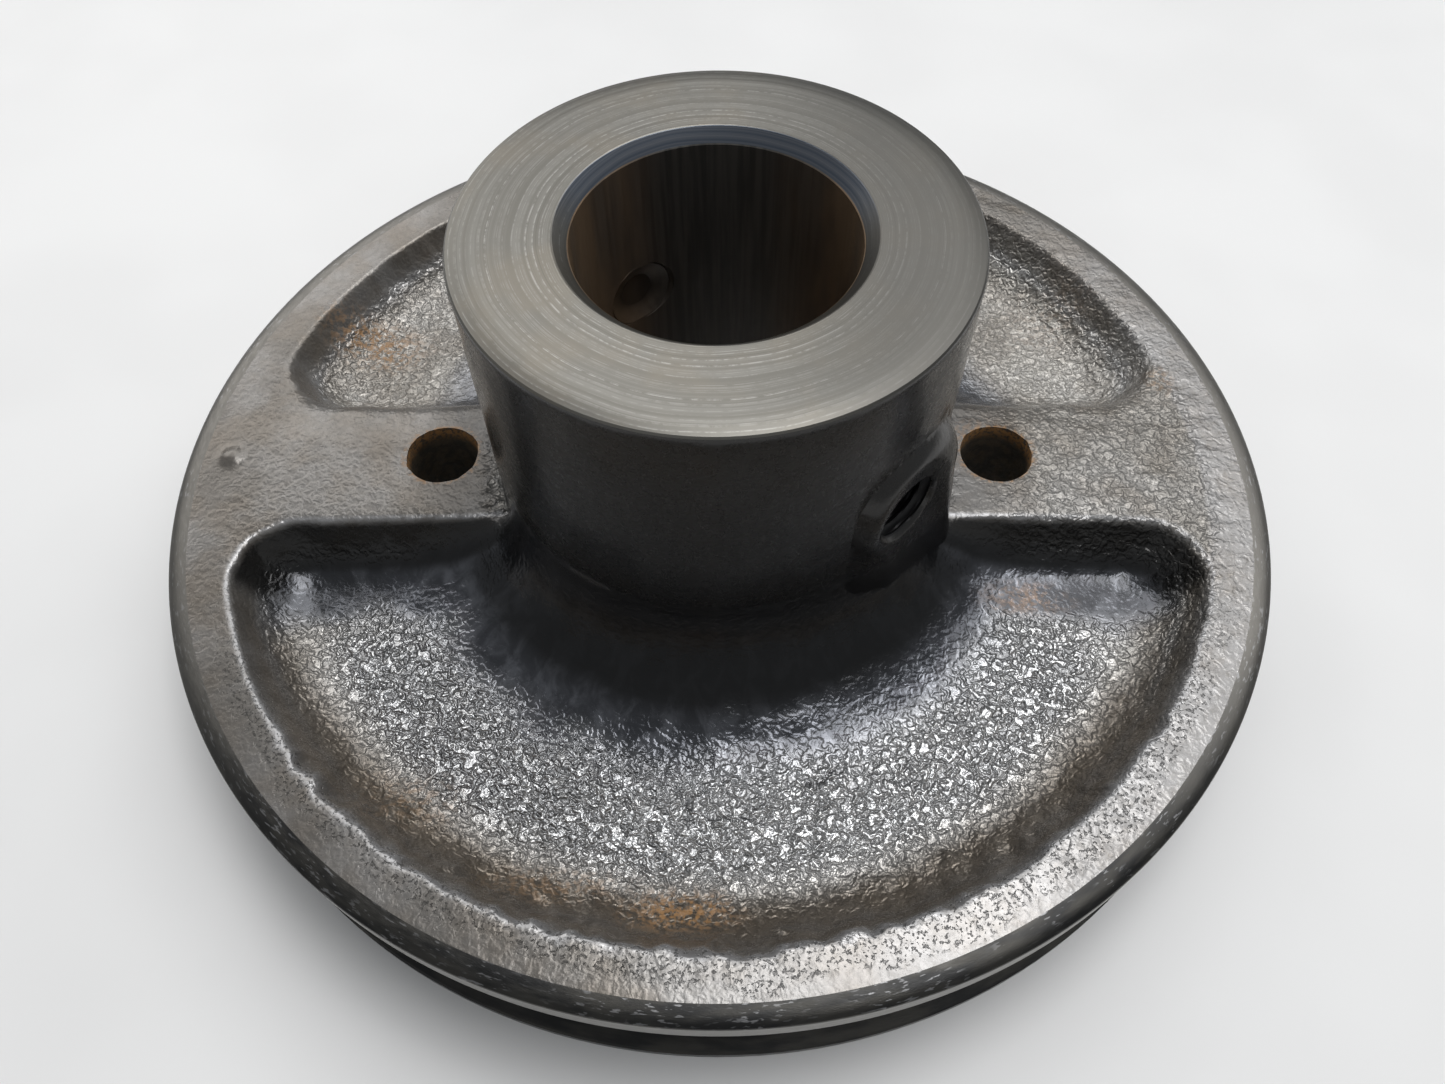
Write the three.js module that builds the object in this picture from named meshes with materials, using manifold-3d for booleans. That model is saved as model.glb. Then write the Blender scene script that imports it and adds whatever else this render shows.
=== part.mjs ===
// V belt pulley: a one-piece iron casting with a long hub, and the set screw in its tapped hole.
// Units are millimetres. +Z runs up through the hub's nose, +X through one of the two web holes, and the
// origin is on the bore's axis at the face that the pulley rests on.
import * as THREE from 'three';
import { mergeVertices } from 'three/addons/utils/BufferGeometryUtils.js';
import Module from 'manifold-3d';

// ---- Driving dimensions -------------------------------------------------------------------------------

const ROUND_SEGMENTS = 80;          // around the casting, a multiple of 4
const SMALL_SEGMENTS = 32;          // around holes and the screw

const OUTER_R = 79.375;             // 6 1/4 in outside diameter
const RIM_WIDTH = 19.05;            // 3/4 in face
const RIM_EDGE_RUN = 2.6;           // shallow rolled edge of the top face, in from the outside
const RIM_EDGE_DROP = 0.8;
const RIM_BOTTOM_BREAK = 0.6;

const GROOVE_LOW_Z = 2.15;          // lower lip of the groove at the outside
const GROOVE_WIDTH = 12.55;         // A section groove, at the outside
const GROOVE_DEPTH = 11.9;
const GROOVE_HALF_ANGLE = THREE.MathUtils.degToRad(18);

const HUB_R = 31.75;                // 2 1/2 in hub
const HUB_TOP_Z = 61.5;
const HUB_EDGE_BREAK = 0.6;
const HUB_BAND_RUN = 2.8;           // the turned end falls away a little towards its edge
const HUB_BAND_DROP = 0.3;
const BORE_R = 17.4625;             // 1 3/8 in bore
const BORE_CHAMFER_R = 19.2;
const BORE_CHAMFER_DEPTH = 1.6;

const POCKET_R = 71.3;              // outer edge of the two pockets
const POCKET_DEPTH = 7.8;
const POCKET_WALL_RUN = 13;         // how far in the outer wall curves before it is floor
const FOOT_RUN = 17;                // how far out the fillet at the hub's foot runs over a pocket
const FOOT_RISE = 15;               // how far it climbs the hub above the pocket's floor
const FOOT_LEDGE = 0.15;            // step between its parts above and below the lands' plane
const FOOT_END_GAP = 3;             // where its part above the lands ends, inside the pocket's edge
const FOOT_END_RUN = 4;             // how far that end slopes back
const LAND_HALF_WIDTH = 11;         // half of the land between the pockets, at the hub
const LAND_FLARE = 0.9;             // how much wider the land is on each side at the rim
const LAND_WALL_RUN = 5;            // how far the land's wall curves before it is floor
const POCKET_CORNER_R = 11;

const RECESS_INNER_R = 34.5;         // ring-shaped recess in the underside
const RECESS_OUTER_R = 61.5;
const RECESS_DEPTH = 5;
const RECESS_DRAFT = 1.5;

const WEB_HOLE_R = 5.15;            // 13/32 in holes
const WEB_HOLE_CIRCLE_R = 41.275;   // on a 3 1/4 in circle

const PAD_AZIMUTH = THREE.MathUtils.degToRad(-45);  // from +X towards +Y
const PAD_FACE_R = 33.3;            // distance of the pad's flat face from the bore's axis
const PAD_OFFSET = 2.5;             // the pad was cast this far to the right of the hole later drilled in it
const PAD_HALF_WIDTH = 9.8;         // where its rounded sides meet the hub
const PAD_ARCH_Z = 37;              // where the arched top begins
const PAD_ARCH_HEIGHT = 9.4;
const PAD_ARCH_POWER = 2.4;         // squarer than an ellipse
const PAD_ARCH_STEPS = 16;
const PAD_BOTTOM_Z = 8;
const PAD_FLARE_LEFT = 0.8;         // how much further out each side is at the pad's bottom
const PAD_FLARE_RIGHT = 6;
const PAD_ROUND_RUN = 3.2;          // rounding of the face into the sides
const PAD_ROUND_DEPTH = 2.6;
const PAD_ROOT_DEPTH = 6;           // buried in the hub

const SCREW_Z = 37.25;              // height of the tapped hole's axis
const TAPPED_HOLE_R = 5.08;
const COUNTERSINK_R = 5.4;
const COUNTERSINK_DEPTH = 0.3;

const DRILL_MARK_AZIMUTH = THREE.MathUtils.degToRad(129);
const DRILL_MARK_R = 5;
const DRILL_MARK_DEPTH = 0.7;       // shallow round spot drilled into the bore's far wall
const DRILL_MARK_Z = 38.3;

const SCREW_R = 4.7625;             // 3/8 in set screw
const SCREW_LENGTH = 9.525;         // 3/8 in long
const SCREW_POINT_R = 17.8;         // distance of the point from the bore's axis at rest
const SCREW_END_CHAMFER = 0.8;
const SCREW_CUP_R = 2.5;
const SCREW_CUP_DEPTH = 1;
const SOCKET_ACROSS_FLATS = 4.76;   // 3/16 in hexagon key
const SOCKET_DEPTH = 4.6;

const PAST = 5;                     // how far a cutter runs past the face that it cuts

// ---- Materials ----------------------------------------------------------------------------------------

const castIron = new THREE.MeshStandardMaterial({ color: 0x3a3a3b, roughness: 0.5, metalness: 0.8 });
const screwSteel = new THREE.MeshStandardMaterial({ color: 0x2a2927, roughness: 0.45, metalness: 0.9 });

// ---- Solids -------------------------------------------------------------------------------------------

const wasm = await Module();
wasm.setup();

/** A closed three.js geometry as a solid that can be cut and joined. */
function solid(geometry) {
  const bare = geometry.index ? geometry.toNonIndexed() : geometry.clone();
  bare.deleteAttribute('normal');
  bare.deleteAttribute('uv');
  const merged = mergeVertices(bare, 1e-4);
  const mesh = new wasm.Mesh({
    numProp: 3,
    vertProperties: new Float32Array(merged.attributes.position.array),
    triVerts: new Uint32Array(merged.index.array),
  });
  return new wasm.Manifold(mesh);
}

/** A solid as a three.js geometry. */
function geometryOf(body) {
  const mesh = body.getMesh();
  const geometry = new THREE.BufferGeometry();
  geometry.setAttribute('position', new THREE.BufferAttribute(new Float32Array(mesh.vertProperties), 3));
  geometry.setIndex(new THREE.BufferAttribute(new Uint32Array(mesh.triVerts), 1));
  geometry.computeVertexNormals();
  return geometry;
}

/** Revolves a closed outline of [radius, z] points around Z. */
function revolve(outline, segments = ROUND_SEGMENTS) {
  const points = outline.map(([r, z]) => new THREE.Vector2(r, z));
  const onAxis = outline[0][0] === 0 && outline.at(-1)[0] === 0;
  if (!onAxis) points.push(points[0].clone());
  const geometry = new THREE.LatheGeometry(points, segments);
  geometry.rotateX(Math.PI / 2);
  return solid(geometry);
}

/** Points of a quarter ellipse from one [radius, z] point to another, level at its floor end. */
function quarterCurve([wallR, wallZ], [floorR, floorZ], steps) {
  const points = [];
  for (let i = 0; i <= steps; i += 1) {
    const angle = (i / steps) * Math.PI / 2;
    const r = floorR + (wallR - floorR) * Math.cos(angle);
    const z = wallZ + (floorZ - wallZ) * Math.sin(angle);
    points.push([r, z]);
  }
  return points;
}

/** A round bar along Z, from low to high. */
function bar(radius, low, high, topRadius = radius, segments = SMALL_SEGMENTS) {
  const geometry = new THREE.CylinderGeometry(topRadius, radius, high - low, segments);
  geometry.rotateX(Math.PI / 2);
  geometry.translate(0, 0, (low + high) / 2);
  return geometry;
}

/** Lays a geometry made along +Z out along a level direction from the bore's axis, at height z. */
function layOutwards(geometry, azimuth, z) {
  geometry.rotateY(Math.PI / 2);
  geometry.rotateZ(azimuth);
  geometry.translate(0, 0, z);
  return geometry;
}

// ---- The casting --------------------------------------------------------------------------------------

/** Rim, groove, full-thickness web and underside recess, without the pockets. */
function rimAndWeb() {
  const grooveHighZ = GROOVE_LOW_Z + GROOVE_WIDTH;
  const flankRise = GROOVE_DEPTH * Math.tan(GROOVE_HALF_ANGLE);
  const grooveFloorR = OUTER_R - GROOVE_DEPTH;
  const edgeStart = [OUTER_R, RIM_WIDTH - RIM_EDGE_DROP];
  const rolledEdge = quarterCurve(edgeStart, [OUTER_R - RIM_EDGE_RUN, RIM_WIDTH], 4);
  return revolve([
    [BORE_R - 1, 0],
    [RECESS_INNER_R, 0],
    [RECESS_INNER_R + RECESS_DRAFT, RECESS_DEPTH],
    [RECESS_OUTER_R - RECESS_DRAFT, RECESS_DEPTH],
    [RECESS_OUTER_R, 0],
    [OUTER_R - RIM_BOTTOM_BREAK, 0],
    [OUTER_R, RIM_BOTTOM_BREAK],
    [OUTER_R, GROOVE_LOW_Z],
    [grooveFloorR, GROOVE_LOW_Z + flankRise],
    [grooveFloorR, grooveHighZ - flankRise],
    [OUTER_R, grooveHighZ],
    ...rolledEdge,
    [BORE_R - 1, RIM_WIDTH],
  ]);
}

/** Points of the fillet at the hub's foot above and below the lands' plane, from the hub's side down. */
function footCurve() {
  const floorZ = RIM_WIDTH - POCKET_DEPTH;
  const curve = quarterCurve([HUB_R, floorZ + FOOT_RISE], [HUB_R + FOOT_RUN, floorZ], 8);
  const split = curve.findIndex(([, z]) => z < RIM_WIDTH);
  const [[r1, z1], [r2, z2]] = curve.slice(split - 1, split + 1);
  const crossing = [r1 + (r2 - r1) * (z1 - RIM_WIDTH) / (z1 - z2), RIM_WIDTH];
  return { above: [...curve.slice(0, split), crossing], below: curve.slice(split) };
}

/** The pockets' cross-section all the way round: fillet at the hub's foot, floor and outer wall. */
function pocketRing() {
  const floorZ = RIM_WIDTH - POCKET_DEPTH;
  const topZ = RIM_WIDTH + PAST;
  const wall = quarterCurve([POCKET_R, RIM_WIDTH], [POCKET_R - POCKET_WALL_RUN, floorZ], 7).reverse();
  const { above, below } = footCurve();
  const crossing = above.at(-1);
  return revolve([[crossing[0], topZ], crossing, ...below, ...wall, [POCKET_R, topZ]]);
}

/** The part of the foot's fillet that climbs above the lands, all the way round. */
function footRing() {
  const climb = footCurve().above.reverse();
  climb[0] = [climb[0][0] - FOOT_LEDGE, RIM_WIDTH];
  const innerR = HUB_R - 1;
  const lowZ = RIM_WIDTH - 1;
  return revolve([[innerR, lowZ], [HUB_R, lowZ], ...climb, [innerR, climb.at(-1)[1]]]);
}

/** One pocket's outline seen from above, drawn at the floor, where its walls have run in by inset. */
function pocketOutline(inset) {
  const outerR = POCKET_R + 0.5 - inset;
  const cornerR = POCKET_CORNER_R - inset;
  const landY = LAND_HALF_WIDTH + LAND_FLARE + inset;
  const cornerY = landY + cornerR;
  const cornerX = Math.sqrt((outerR - cornerR) ** 2 - cornerY ** 2);
  const cornerAzimuth = Math.atan2(cornerY, cornerX);
  const outline = new THREE.Shape();
  outline.absarc(0, 0, outerR, cornerAzimuth, Math.PI - cornerAzimuth, false);
  outline.absarc(-cornerX, cornerY, cornerR, Math.PI - cornerAzimuth, 1.5 * Math.PI, false);
  outline.lineTo(0, landY - LAND_FLARE);
  outline.absarc(cornerX, cornerY, cornerR, -Math.PI / 2, cornerAzimuth, false);
  return outline;
}

/** A solid over one pocket whose outline draws in by run towards each end, rise above and below depth. */
function overPocket(inset, depth, rise, run, azimuth) {
  const geometry = new THREE.ExtrudeGeometry(pocketOutline(inset + run), {
    depth,
    steps: 1,
    curveSegments: 24,
    bevelEnabled: true,
    bevelThickness: rise,
    bevelSize: run,
    bevelSegments: 4,
  });
  geometry.translate(0, 0, RIM_WIDTH);
  geometry.rotateZ(azimuth);
  return solid(geometry);
}

/** The space that one pocket takes out of the web. */
function pocketCutter(ring, azimuth) {
  return overPocket(0, PAST, POCKET_DEPTH, LAND_WALL_RUN, azimuth).intersect(ring);
}

/** The part of one pocket's foot fillet that climbs above the lands. */
function footClimb(ring, azimuth) {
  return overPocket(FOOT_END_GAP, 1, FOOT_RISE - POCKET_DEPTH, FOOT_END_RUN, azimuth).intersect(ring);
}

/** The hub, with its edge break, rooted in the middle of the web. */
function hub() {
  const rootZ = RIM_WIDTH / 2;
  return revolve([
    [BORE_R - 1, rootZ],
    [HUB_R, rootZ],
    [HUB_R, HUB_TOP_Z - HUB_BAND_DROP - HUB_EDGE_BREAK],
    [HUB_R - HUB_EDGE_BREAK, HUB_TOP_Z - HUB_BAND_DROP],
    [HUB_R - HUB_BAND_RUN, HUB_TOP_Z],
    [BORE_R - 1, HUB_TOP_Z],
  ]);
}

/** The bore and its chamfers, as one cutter. */
function boreCutter() {
  return revolve([
    [0, -PAST],
    [BORE_CHAMFER_R, -PAST],
    [BORE_CHAMFER_R, 0],
    [BORE_R, BORE_CHAMFER_DEPTH],
    [BORE_R, HUB_TOP_Z - BORE_CHAMFER_DEPTH],
    [BORE_CHAMFER_R, HUB_TOP_Z],
    [BORE_CHAMFER_R, HUB_TOP_Z + PAST],
    [0, HUB_TOP_Z + PAST],
  ]);
}

/** The arched pad on the hub that the tapped hole is drilled through. */
function setScrewPad() {
  const low = PAD_BOTTOM_Z - SCREW_Z;
  const arch = PAD_ARCH_Z - SCREW_Z;
  const half = PAD_HALF_WIDTH - PAD_ROUND_RUN;
  const height = PAD_ARCH_HEIGHT - PAD_ROUND_RUN;
  const outline = new THREE.Shape();
  outline.moveTo(PAD_OFFSET - half - PAD_FLARE_LEFT, low);
  outline.lineTo(PAD_OFFSET + half + PAD_FLARE_RIGHT, low);
  for (let i = 0; i <= PAD_ARCH_STEPS; i += 1) {
    const angle = (i / PAD_ARCH_STEPS) * Math.PI;
    const across = Math.sign(Math.cos(angle)) * Math.abs(Math.cos(angle)) ** (2 / PAD_ARCH_POWER);
    const up = Math.sin(angle) ** (2 / PAD_ARCH_POWER);
    outline.lineTo(PAD_OFFSET + half * across, arch + height * up);
  }
  const geometry = new THREE.ExtrudeGeometry(outline, {
    depth: PAD_ROOT_DEPTH,
    steps: 1,
    bevelEnabled: true,
    bevelThickness: PAD_ROUND_DEPTH,
    bevelSize: PAD_ROUND_RUN,
    bevelSegments: 4,
  });
  geometry.translate(0, 0, PAD_FACE_R - PAD_ROUND_DEPTH - PAD_ROOT_DEPTH);
  geometry.rotateZ(Math.PI / 2);
  return solid(layOutwards(geometry, PAD_AZIMUTH, SCREW_Z));
}

function buildCasting() {
  const ring = pocketRing();
  const foot = footRing();
  let body = rimAndWeb();
  for (const azimuth of [0, Math.PI]) {
    body = body.subtract(pocketCutter(ring, azimuth)).add(footClimb(foot, azimuth));
  }
  body = body.add(hub()).add(setScrewPad()).subtract(boreCutter());

  for (const side of [-1, 1]) {
    const hole = bar(WEB_HOLE_R, -PAST, RIM_WIDTH + PAST);
    hole.translate(side * WEB_HOLE_CIRCLE_R, 0, 0);
    body = body.subtract(solid(hole));
  }

  const tapped = bar(TAPPED_HOLE_R, BORE_R - PAST, PAD_FACE_R + PAST);
  const mouthGrowth = (COUNTERSINK_R - TAPPED_HOLE_R) / COUNTERSINK_DEPTH;
  const mouth = bar(TAPPED_HOLE_R, PAD_FACE_R - COUNTERSINK_DEPTH, PAD_FACE_R + 1, COUNTERSINK_R + mouthGrowth);
  const mark = bar(DRILL_MARK_R, BORE_R - PAST, BORE_R + DRILL_MARK_DEPTH);
  return body
    .subtract(solid(layOutwards(tapped, PAD_AZIMUTH, SCREW_Z)))
    .subtract(solid(layOutwards(mouth, PAD_AZIMUTH, SCREW_Z)))
    .subtract(solid(layOutwards(mark, DRILL_MARK_AZIMUTH, DRILL_MARK_Z)));
}

// ---- The set screw ------------------------------------------------------------------------------------

/** A socket set screw with a cup point, made along Z with its point at z = 0. */
function buildSetScrew() {
  const body = revolve([
    [0, SCREW_CUP_DEPTH],
    [SCREW_CUP_R, 0],
    [SCREW_R - SCREW_END_CHAMFER, 0],
    [SCREW_R, SCREW_END_CHAMFER],
    [SCREW_R, SCREW_LENGTH - SCREW_END_CHAMFER],
    [SCREW_R - SCREW_END_CHAMFER, SCREW_LENGTH],
    [0, SCREW_LENGTH],
  ], SMALL_SEGMENTS);
  const socketR = SOCKET_ACROSS_FLATS / Math.sqrt(3);
  const socket = bar(socketR, SCREW_LENGTH - SOCKET_DEPTH, SCREW_LENGTH + PAST, socketR, 6);
  return body.subtract(solid(socket));
}

// ---- The assembly -------------------------------------------------------------------------------------

const casting = new THREE.Mesh(geometryOf(buildCasting()), castIron);
casting.name = 'pulley_casting';

const setScrew = new THREE.Mesh(geometryOf(buildSetScrew()), screwSteel);
setScrew.name = 'set_screw';
setScrew.rotation.y = Math.PI / 2;
setScrew.position.x = SCREW_POINT_R;

const screwPlace = new THREE.Group();
screwPlace.rotation.z = PAD_AZIMUTH;
screwPlace.position.z = SCREW_Z;
screwPlace.add(setScrew);

const pulley = new THREE.Group();
pulley.name = 'v_belt_pulley';
pulley.add(casting, screwPlace);

export default pulley;
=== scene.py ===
"""V belt pulley: the visual model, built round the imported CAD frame.

Sizes are in millimetres until mesh_object and the lights and camera turn them to metres.
"""

import itertools
import math

import bpy
import numpy as np
from mathutils import Euler, Matrix, Vector


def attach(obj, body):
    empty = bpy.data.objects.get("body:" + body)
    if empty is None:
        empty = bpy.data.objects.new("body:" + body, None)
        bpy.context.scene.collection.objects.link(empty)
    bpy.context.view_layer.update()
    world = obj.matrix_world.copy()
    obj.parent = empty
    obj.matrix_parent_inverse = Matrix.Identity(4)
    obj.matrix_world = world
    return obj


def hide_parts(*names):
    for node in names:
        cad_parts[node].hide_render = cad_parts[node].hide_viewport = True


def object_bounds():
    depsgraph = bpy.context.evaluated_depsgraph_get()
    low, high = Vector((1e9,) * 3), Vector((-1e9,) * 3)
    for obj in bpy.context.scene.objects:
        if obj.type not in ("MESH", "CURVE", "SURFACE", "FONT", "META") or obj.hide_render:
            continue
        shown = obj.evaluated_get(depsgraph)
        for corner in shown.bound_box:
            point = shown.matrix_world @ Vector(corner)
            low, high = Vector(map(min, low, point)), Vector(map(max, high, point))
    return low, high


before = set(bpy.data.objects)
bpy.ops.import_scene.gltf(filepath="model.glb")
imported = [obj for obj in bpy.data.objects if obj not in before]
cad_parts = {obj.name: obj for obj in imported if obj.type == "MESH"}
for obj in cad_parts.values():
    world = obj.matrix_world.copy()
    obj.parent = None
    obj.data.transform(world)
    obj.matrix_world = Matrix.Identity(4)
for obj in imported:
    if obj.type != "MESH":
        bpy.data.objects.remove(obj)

CAD_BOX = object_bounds()

# ---- Driving dimensions, in millimetres ---------------------------------------------------------------

MM = 0.001
SCREW_BODY = "set_screw"
CASTING_BODY = "pulley"

OUTER_R = CAD_BOX[1][0] / MM
HUB_TOP = CAD_BOX[1][2] / MM
RIM_WIDTH = 19.05
RIM_EDGE_RUN = 2.6
RIM_EDGE_DROP = 0.8

GROOVE_LOW = 2.15
GROOVE_WIDTH = 12.55
GROOVE_DEPTH = 11.9
GROOVE_HALF_ANGLE = math.radians(18)

HUB_R = 31.75
HUB_EDGE = 0.6
HUB_BAND_RUN = 2.8
HUB_BAND_DROP = 0.3
BORE_R = 17.4625
CHAMFER_R = 19.2
CHAMFER_DEPTH = 1.6

POCKET_R = 71.3
POCKET_DEPTH = 7.8
POCKET_CORNER_R = 11.0
OUTER_WALL_RUN = 13.0
LAND_HALF = 11.0
LAND_FLARE = 0.9
LAND_SHIFT = -0.4
LAND_WALL_RUN = 8.0
FOOT_RUN = 17.0
FOOT_RISE = 14.0
FOOT_TAIL_RUN = 28.0
FOOT_TAIL_RISE = 1.4
LAND_FILLET = 1.3

RECESS_INNER_R = 34.5
RECESS_OUTER_R = 61.5
RECESS_DEPTH = 5.0

WEB_HOLE_R = 5.15
WEB_HOLE_AT = 41.275

PAD_AZIMUTH = math.radians(-45)
PAD_FACE = 33.3
PAD_OFFSET = 2.5
PAD_HALF_WIDTH = 9.8
PAD_ARCH_Z = 37.0
PAD_ARCH_HEIGHT = 9.4
PAD_ARCH_POWER = 2.4
PAD_BOTTOM = 8.0
PAD_FLARE_LEFT = 0.8
PAD_FLARE_RIGHT = 6.0
PAD_ROUND_LEFT = 2.1
PAD_ROUND_RIGHT = 4.6
PAD_ROUND_FADE = 12.0

SCREW_Z = 37.25
SCREW_POINT = 17.8
SCREW_LENGTH = 9.525
SCREW_MAJOR_R = 4.7625
SCREW_MINOR_R = 3.85
SCREW_PITCH = 25.4 / 16
SOCKET_FLATS = 4.76
THREAD_CLEARANCE = 0.14

DRILL_MARK_AZIMUTH = math.radians(129)
DRILL_MARK_Z = 38.3
DRILL_MARK_R = 5.0
DRILL_MARK_DEPTH = 0.35

# Columns round a quarter of the casting: across the land, down its wall, and over the open pocket.
LAND_COLUMNS = 22
WALL_COLUMNS = 20
OPEN_COLUMNS = 126
WALL_ZONE = 5.5
COARSE = 3


# ---- Noise and small helpers --------------------------------------------------------------------------

def noise(points, cell, seed):
    """Smooth noise from -1 to 1 over an array of points, with features about one cell across."""
    scaled = np.asarray(points, float) / cell
    base = np.floor(scaled).astype(np.int64)
    part = scaled - base
    part = part * part * (3 - 2 * part)
    total = np.zeros(len(scaled))
    for corner in itertools.product((0, 1), repeat=3):
        at = base + np.array(corner)
        code = at[:, 0] * 73856093 ^ at[:, 1] * 19349663 ^ at[:, 2] * 83492791 ^ seed * 2654435761
        code &= 0xFFFFFFFF
        code = (code ^ (code >> 15)) * 0x2C1B3C6D & 0xFFFFFFFF
        code = (code ^ (code >> 12)) * 0x297A2D39 & 0xFFFFFFFF
        code ^= code >> 15
        weight = np.prod(np.where(corner, part, 1 - part), axis=1)
        total += weight * (code / 0x7FFFFFFF - 1)
    return total


def smooth(value, low, high):
    """0 at low, 1 at high, with a smooth step between. low may be above high."""
    t = np.clip((np.asarray(value, float) - low) / (high - low), 0, 1)
    return t * t * (3 - 2 * t)


def polar(azimuth, radius, z):
    """Points from azimuth, radius and height, as an array of rows."""
    azimuth, radius, z = np.broadcast_arrays(azimuth, radius, z)
    return np.stack([radius * np.cos(azimuth), radius * np.sin(azimuth), z], axis=-1).astype(float)


def arc(centre, radius, start, end, steps):
    """[radius, z] points of an arc in the profile plane, angles in degrees."""
    angles = np.radians(np.linspace(start, end, steps + 1))
    return [(centre[0] + radius * math.cos(a), centre[1] + radius * math.sin(a)) for a in angles]


def spaced(start, end, step):
    """Evenly spaced values from start towards end, without end itself."""
    count = max(1, round(abs(end - start) / step))
    return list(np.linspace(start, end, count, endpoint=False))


def mesh_object(name, points, faces):
    """An object from points in millimetres."""
    mesh = bpy.data.meshes.new(name)
    mesh.from_pydata((np.asarray(points) * MM).tolist(), [], faces)
    mesh.validate()
    piece = bpy.data.objects.new(name, mesh)
    bpy.context.scene.collection.objects.link(piece)
    return piece


def outward_place(azimuth, z):
    """Turns a shape made along +Z to point straight out from the bore's axis at an azimuth and height."""
    outward = Matrix.Rotation(math.pi / 2, 4, "Y")
    return Matrix.Translation((0, 0, z)) @ Matrix.Rotation(azimuth, 4, "Z") @ outward


def placed(points, matrix):
    """Points in millimetres moved by a matrix in millimetres."""
    turn = np.array(matrix.to_3x3())
    shift = np.array(matrix.to_translation())
    return np.asarray(points) @ turn.T + shift


# ---- The web's top surface ----------------------------------------------------------------------------

def land_half(radius):
    """Half the land's width at a radius: it flares a little towards the rim."""
    part = np.clip((np.asarray(radius, float) - HUB_R) / (POCKET_R - HUB_R), 0, 1)
    return LAND_HALF + LAND_FLARE * part


def pocket_share(x, y):
    """How much of its full depth the pocket has reached at (x, y), from 0 on the lands and rim to 1."""
    points = np.stack([x, y, np.zeros_like(x)], axis=-1)
    ragged = 0.16 * noise(points, 2.1, 3) + 0.1 * noise(points, 0.9, 4)
    jagged = smooth(y, -30, -58) * (0.5 * noise(points, 3.1, 5) + 0.5 * noise(points, 1.5, 6))
    radius = np.hypot(x, y)
    from_rim = POCKET_R - radius + ragged + jagged
    from_land = np.abs(y - LAND_SHIFT) - land_half(radius) + ragged
    corner_rim = POCKET_CORNER_R - from_rim
    corner_land = POCKET_CORNER_R - from_land
    in_corner = (corner_rim > 0) & (corner_land > 0)
    reach = np.hypot(corner_rim, corner_land)
    inside = np.where(in_corner, POCKET_CORNER_R - reach, np.minimum(from_rim, from_land))
    rim_weight = np.where(in_corner, (corner_rim / np.maximum(reach, 1e-6)) ** 2, from_rim < from_land)
    run = LAND_WALL_RUN + (OUTER_WALL_RUN - LAND_WALL_RUN) * rim_weight
    power = 2.9 + 0.9 * rim_weight
    edge = 0.3 + 1.3 * smooth(y, 0, 8) * (1 - rim_weight)
    rounded = (inside + np.sqrt(inside ** 2 + edge ** 2)) / 2
    return 1 - (1 - np.clip(rounded / run, 0, 1)) ** power, inside


def web_height(x, y):
    """Height of the web's top surface: lands, pockets and the fillets at the hub's foot."""
    share, _ = pocket_share(x, y)
    out = np.hypot(x, y) - HUB_R
    ellipse = 1 - np.sqrt(np.clip(1 - (1 - np.clip(out / FOOT_RUN, 0, 1)) ** 2, 0, 1))
    tail = (1 - np.clip(out / FOOT_TAIL_RUN, 0, 1)) ** 2
    floor = RIM_WIDTH - POCKET_DEPTH + FOOT_RISE * ellipse + FOOT_TAIL_RISE * tail
    fillet = 1 - np.sqrt(np.clip(1 - (1 - np.clip(out / LAND_FILLET, 0, 1)) ** 2, 0, 1))
    land = RIM_WIDTH + LAND_FILLET * fillet
    return land + (floor - land) * share


def grainy_corners(points):
    """Where sand grains and flash stand: the lands' roots, and the crevice beside the pad."""
    x, y, z = points.T
    radius = np.hypot(x, y)
    azimuth = np.degrees(np.arctan2(y, x))
    on_land = smooth(np.abs(y - LAND_SHIFT), LAND_HALF + 1.5, LAND_HALF - 1)
    root = smooth(radius, HUB_R + 4.5, HUB_R + 0.8) * on_land
    beside_pad = smooth(np.abs(azimuth + 22.5), 5, 2) * smooth(z, 27, 25)
    crevice = smooth(radius, HUB_R + 4, HUB_R + 1) * beside_pad
    return np.maximum(root * smooth(z, 24, 22), crevice)


def flow_share(x, y):
    """Where the skin is smooth with flow marks: the hub's foot, and under the lands' front walls."""
    flat = np.stack([x, y, np.zeros_like(x)], axis=-1)
    share, inside = pocket_share(x, y)
    foot = smooth(np.hypot(x, y) + 2 * noise(flat, 6, 66), 53, 43)
    near_land = smooth(inside, 1.5, 4) * smooth(-y + 2.5 * noise(flat, 7, 65), 28, 20) * (y < 0)
    return np.maximum(foot, near_land) * smooth(share, 0.35, 0.8)


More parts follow.
